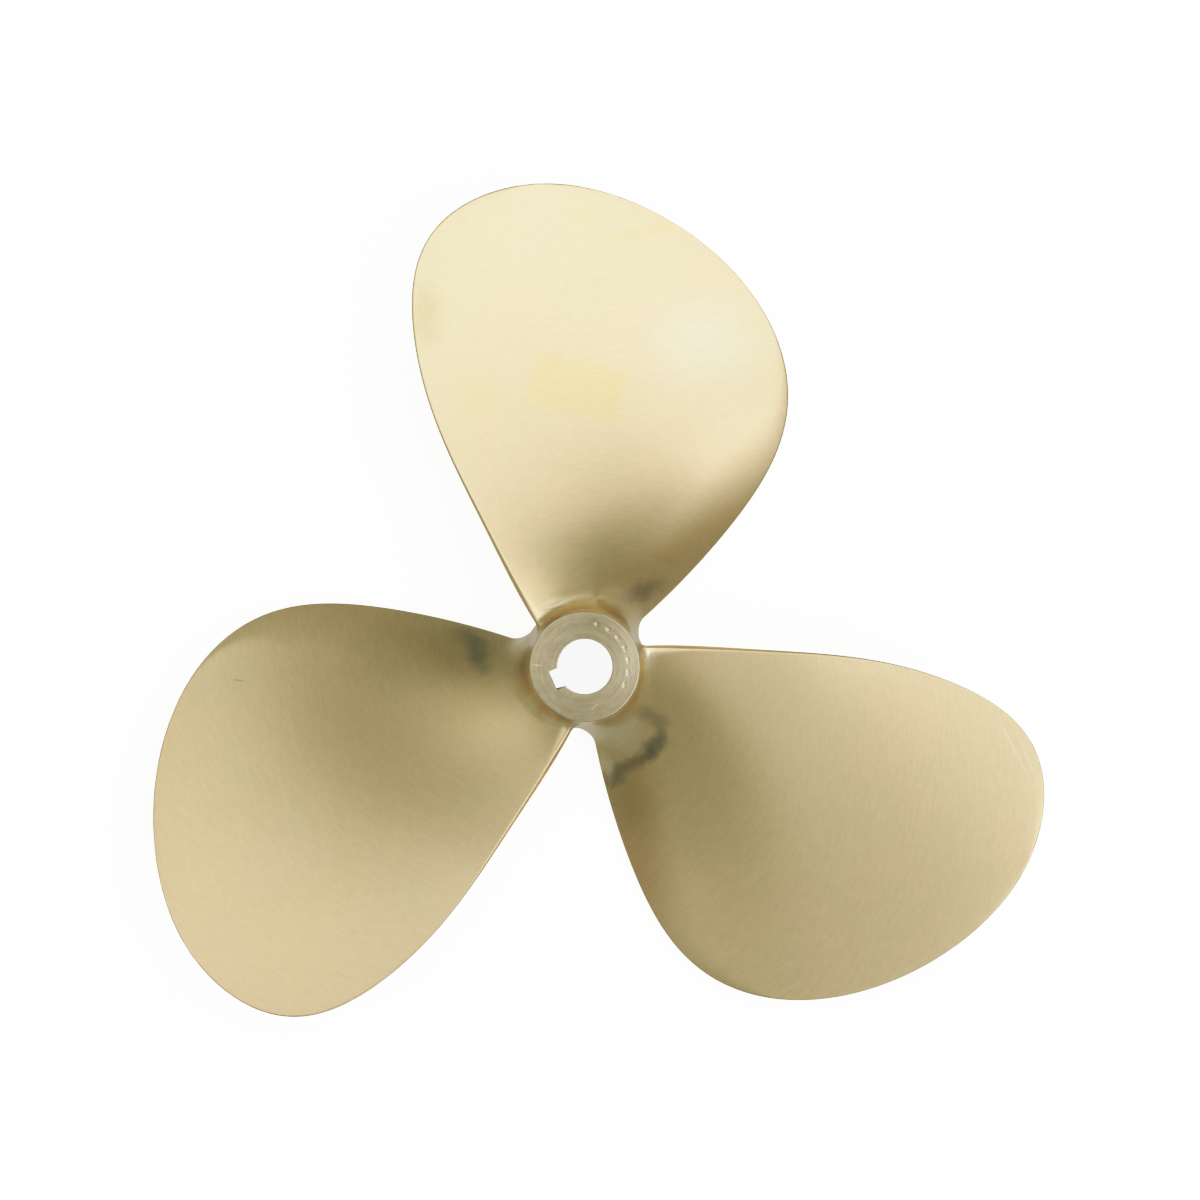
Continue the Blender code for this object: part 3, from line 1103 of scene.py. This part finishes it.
@dataclass(frozen=True)
class BrushedBronze:
    """Blades and barrel: pale bronze, brushed by hand round the shaft."""

    warm: Tint = (0.83, 0.637, 0.37)
    green: Tint = (0.80, 0.637, 0.365)
    # Darker tint in the fillets next to the hub: partly grime, partly painted shade.
    root: Tint = (0.60, 0.52, 0.30)
    root_shade_share: float = 0.50
    root_shade_radii: Pair = (0.022, 0.032)
    roughness: float = 0.36
    anisotropy: float = 0.6
    # Brush lines: where they start, how they wind outwards, and how strongly they show
    gap_angle: float = 27.0
    brush_slant: float = 18.0
    line_scale: float = 170.0
    line_crowding: float = 14.0
    line_strength: float = 0.04
    line_roughness: float = 0.02
    line_depth: float = 0.000006
    # Mottling and clouds, in features per metre
    mottle_scale: float = 380.0
    mottle_strength: float = 0.015
    cloud_scale: float = 16.0
    marks_and_painted_light: tuple[MarkOrPaintedLight, ...] = BLADE_MARKS_AND_PAINTED_LIGHT
    scratches: tuple[MarkOrPaintedLight, ...] = SCRATCHES

    def strand(self, sheet: Sheet) -> Socket:
        """Lengths that stay the same along a brush line, which winds slowly out from the shaft.

        The lines start again at each gap between two blades.

        Args:
            sheet: The material.

        Returns:
            The length at each place.
        """
        place = sheet.wander(14.0, 0.010)
        radius = sheet.shaft_radius(place)
        split = sheet.node("ShaderNodeSeparateXYZ")
        sheet.feed(split, {0: place})
        angle = sheet.maths("ARCTAN2", split.outputs["Y"], split.outputs["X"])
        past_first = sheet.maths("SUBTRACT", angle, math.radians(self.gap_angle))
        from_gap = sheet.maths("FLOORED_MODULO", past_first, 2.0 * math.pi / 3.0)
        winding = sheet.maths("MULTIPLY", from_gap, math.tan(math.radians(self.brush_slant)))
        return sheet.maths("MULTIPLY", radius, sheet.maths("ADD", winding, 1.0))

    def material(self) -> bpy.types.Material:
        """Build the finish's nodes.

        Returns:
            The finish as a material.
        """
        sheet = Sheet("brushed_bronze")
        radius = sheet.shaft_radius(sheet.place)
        across = sheet.maths("MULTIPLY", self.strand(sheet), self.line_crowding)
        lines = sheet.noise(sheet.place, self.line_scale, 1.0, across)
        mottling = sheet.noise(sheet.place, self.mottle_scale, 3.0)
        clouds = sheet.noise(sheet.place, self.cloud_scale, 2.0)
        colour = sheet.mix(sheet.ramp(clouds, 0.35, 0.65, 0.0, 1.0), self.warm, self.green)
        # Painted shade and grime darken the roots near the hub.
        colour = sheet.mix(sheet.ramp(radius, *self.root_shade_radii, self.root_shade_share, 0.0), colour, self.root)
        # Lays stains and smudges, painted highlights and painted shade.
        colour = with_marks_and_painted_light(sheet, colour, sheet.wander(150.0, 0.006), self.marks_and_painted_light)
        colour = with_marks_and_painted_light(sheet, colour, sheet.place, self.scratches)
        grain = sheet.maths(
            "ADD",
            sheet.stretch(mottling, 1.0 - self.mottle_strength, 1.0 + self.mottle_strength),
            sheet.stretch(lines, -self.line_strength, self.line_strength),
        )
        low, high = self.roughness - self.line_roughness, self.roughness + self.line_roughness
        rough = sheet.stretch(lines, low, high)
        sheet.feed(sheet.shader, {"Base Color": sheet.shade(colour, grain), "Metallic": 1.0})
        sheet.feed(sheet.shader, {"Roughness": rough, "Normal": sheet.bump(lines, self.line_depth)})
        sheet.brushed(self.anisotropy)
        return sheet.material


@dataclass(frozen=True)
class TurnedBronze:
    """Hub ends and bore: machined bronze with fine rings."""

    gold: Tint = (0.60, 0.51, 0.32)
    dull: Tint = (0.54, 0.455, 0.285)
    roughness: float = 0.34
    anisotropy: float = 0.85
    # Fine rings across and along their lines, in features per metre
    rings_per_metre: float = 2400.0
    ring_scale: float = 60.0
    ring_strength: float = 0.12
    ring_roughness: Pair = (-0.03, 0.05)
    ring_depth: float = 0.000008
    cloud_scale: float = 300.0
    marks_and_painted_light: tuple[MarkOrPaintedLight, ...] = RING_MARKS_AND_PAINTED_LIGHT

    def material(self) -> bpy.types.Material:
        """Build the finish's nodes.

        Returns:
            The finish as a material.
        """
        sheet = Sheet("turned_bronze")
        crowding = self.rings_per_metre / self.ring_scale
        across = sheet.maths("MULTIPLY", sheet.shaft_radius(sheet.place), crowding)
        rings = sheet.noise(sheet.place, self.ring_scale, 2.0, across)
        clouds = sheet.noise(sheet.place, self.cloud_scale, 3.0)
        colour = sheet.mix(sheet.ramp(clouds, 0.35, 0.65, 0.0, 1.0), self.gold, self.dull)
        # Lays the ring face's scratches, painted shade and painted highlight.
        colour = with_marks_and_painted_light(sheet, colour, sheet.wander(400.0, 0.0015), self.marks_and_painted_light)
        grain = sheet.stretch(rings, 1.0 - self.ring_strength, 1.0 + self.ring_strength)
        rough = sheet.stretch(rings, *(self.roughness + change for change in self.ring_roughness))
        sheet.feed(sheet.shader, {"Base Color": sheet.shade(colour, grain), "Metallic": 1.0})
        sheet.feed(sheet.shader, {"Roughness": rough, "Normal": sheet.bump(rings, self.ring_depth)})
        sheet.brushed(self.anisotropy)
        return sheet.material


COOL = (0.975, 0.99, 1.14)
PLAIN = (0.99, 1.0, 1.02)


@dataclass(frozen=True)
class Softbox:
    """A round soft light that faces the propeller."""

    name: str
    azimuth: float
    tilt: float
    size: float
    radiance: float
    tint: Tint
    distance: float = 3.0

    def build(self) -> bpy.types.Object:
        """Build the light, placed by its tilt from the shaft axis and its azimuth.

        Returns:
            The light.
        """
        lamp = bpy.data.lights.new(self.name, "AREA")
        lamp.shape = "DISK"
        lamp.size = self.size
        lamp.color = self.tint
        lamp.energy = self.radiance * math.pi * (math.pi * self.size**2 / 4)
        item = add_object(self.name, lamp)
        azimuth, tilt = math.radians(self.azimuth), math.radians(self.tilt)
        sideways = math.sin(tilt)
        away = Vector((math.cos(azimuth) * sideways, math.sin(azimuth) * sideways, math.cos(tilt)))
        item.location = away * self.distance
        item.rotation_mode = "QUATERNION"
        item.rotation_quaternion = away.to_track_quat("Z", "Y")
        item.visible_camera = False
        return item


@dataclass
class Studio:
    """A plain pale floor, softboxes and the camera."""

    floor_height: float
    floor_radius: float = 7.0
    floor_albedo: float = 0.8
    floor_glow: float = 1.3
    # Surround, and its brighter part straight below
    surround: Tint = (0.32, 0.335, 0.275)
    below: Tint = (0.66, 0.69, 0.73)
    camera_place: Place = (-0.015, 0.005, 1.5375)
    camera_target: Place = (0.0062, 0.02725, 0.0375)
    sensor: float = 36.0
    focal_pixels: float = 3660.7
    frame_pixels: float = 1200.0
    # Tone curve: scene light and the tone that shows for it
    tone_white: float = 2.0
    tone_points: tuple[Pair, ...] = (
        (0.11, 0.10),
        (0.29, 0.30),
        (0.61, 0.60),
        (0.90, 0.80),
        (1.20, 0.90),
        (1.64, 0.97),
    )
    softboxes: tuple[Softbox, ...] = (
        Softbox("key_right", 0.0, 24.0, 1.3, 1.60, COOL),
        Softbox("key_top_right", 60.0, 24.0, 1.3, 1.60, COOL),
        Softbox("fill_top_left", 120.0, 24.0, 1.3, 0.95, PLAIN),
        Softbox("fill_left", 180.0, 24.0, 1.3, 0.60, COOL),
        Softbox("fill_bottom_right", 300.0, 24.0, 1.3, 0.75, COOL),
        Softbox("outer_right", 0.0, 46.0, 1.6, 0.95, COOL),
        Softbox("outer_top_right", 45.0, 46.0, 1.6, 1.30, COOL),
        Softbox("outer_left", 180.0, 46.0, 1.6, 1.05, COOL),
        Softbox("outer_bottom", 270.0, 46.0, 1.6, 0.65, COOL),
        Softbox("outer_bottom_right", 315.0, 46.0, 1.6, 2.20, COOL),
        Softbox("low_top_right", 45.0, 70.0, 1.8, 0.85, PLAIN),
        Softbox("low_top_left", 135.0, 70.0, 1.8, 0.55, PLAIN),
    )

    def build_floor(self) -> bpy.types.Object:
        """Build the pale floor, a disc that the hub stands on.

        It is clear from below and doesn't show in reflections.

        Returns:
            The floor.
        """
        work = bmesh.new()
        bmesh.ops.create_circle(work, cap_ends=True, segments=96, radius=self.floor_radius)
        mesh = bpy.data.meshes.new("floor")
        work.to_mesh(mesh)
        work.free()
        item = add_object("floor", mesh)
        item.location.z = self.floor_height
        sheet = Sheet("pale_floor")
        pale = (self.floor_albedo, self.floor_albedo, self.floor_albedo, 1.0)
        sheet.feed(sheet.shader, {"Base Color": pale, "Roughness": 0.9, "Specular IOR Level": 0.1})
        white = (1.0, 1.0, 1.0, 1.0)
        sheet.feed(sheet.shader, {"Emission Color": white, "Emission Strength": self.floor_glow})
        underneath = sheet.node("ShaderNodeNewGeometry").outputs["Backfacing"]
        sheet.feed(sheet.shader, {"Alpha": sheet.maths("SUBTRACT", 1.0, underneath)})
        mesh.materials.append(sheet.material)
        item.visible_glossy = False
        return item

    def build_world(self) -> None:
        """Give the scene a plain surround that is brighter straight below, as over a pale table."""
        world = bpy.data.worlds.new("surround")
        nodes = Nodes(world)
        split = nodes.node("ShaderNodeSeparateXYZ")
        nodes.feed(split, {0: nodes.node("ShaderNodeTexCoord").outputs["Generated"]})
        fade = nodes.node("ShaderNodeMapRange")
        nodes.feed(fade, {"Value": split.outputs["Z"], "From Min": -0.45, "From Max": -0.95})
        colour = nodes.mix(fade.outputs["Result"], self.surround, self.below)
        nodes.feed(nodes.tree.nodes["Background"], {"Color": colour})
        bpy.context.scene.world = world

    def build_camera(self) -> bpy.types.Object:
        """Build the camera, which looks down on the aft side with +Y up.

        Returns:
            The camera.
        """
        lens = bpy.data.cameras.new("camera")
        lens.sensor_width = self.sensor
        lens.lens = self.focal_pixels / self.frame_pixels * self.sensor
        lens.clip_end = 50.0
        item = add_object("camera", lens)
        place = Vector(self.camera_place)
        ahead = (Vector(self.camera_target) - place).normalized()
        right = ahead.cross(Vector((0.0, 1.0, 0.0))).normalized()
        up = right.cross(ahead)
        turn = Matrix((right, up, -ahead)).transposed()
        item.matrix_world = Matrix.Translation(place) @ turn.to_4x4()
        bpy.context.scene.camera = item
        return item

    def set_tones(self) -> None:
        """Roll bright tones off softly, as the photo does."""
        view = bpy.context.scene.view_settings
        view.view_transform = "Standard"
        view.look = "None"
        view.use_curve_mapping = True
        mapping = view.curve_mapping
        mapping.white_level = (self.tone_white,) * 3
        shared_curve = mapping.curves[3]
        for scene_light, shown in self.tone_points:
            shared_curve.points.new(scene_light / self.tone_white, shown)
        mapping.update()

    def build(self) -> None:
        """Build the floor, the surround, the lights and the camera, and set the tones."""
        self.build_floor()
        self.build_world()
        for softbox in self.softboxes:
            softbox.build()
        self.build_camera()
        self.set_tones()


def main() -> None:
    """Build the casting and the studio."""
    logging.basicConfig(level=logging.INFO, format="%(name)s: %(message)s")
    hub = Hub()
    casting = Casting(hub, Blade(hub))
    item = casting.build()
    casting.dress(item, [BrushedBronze().material(), TurnedBronze().material()])
    log.info("casting: %d points, %d faces", len(item.data.vertices), len(item.data.polygons))
    Studio(floor_height=cad_box[0].z).build()
    log.info("studio built")


if __name__ == "__main__":
    main()
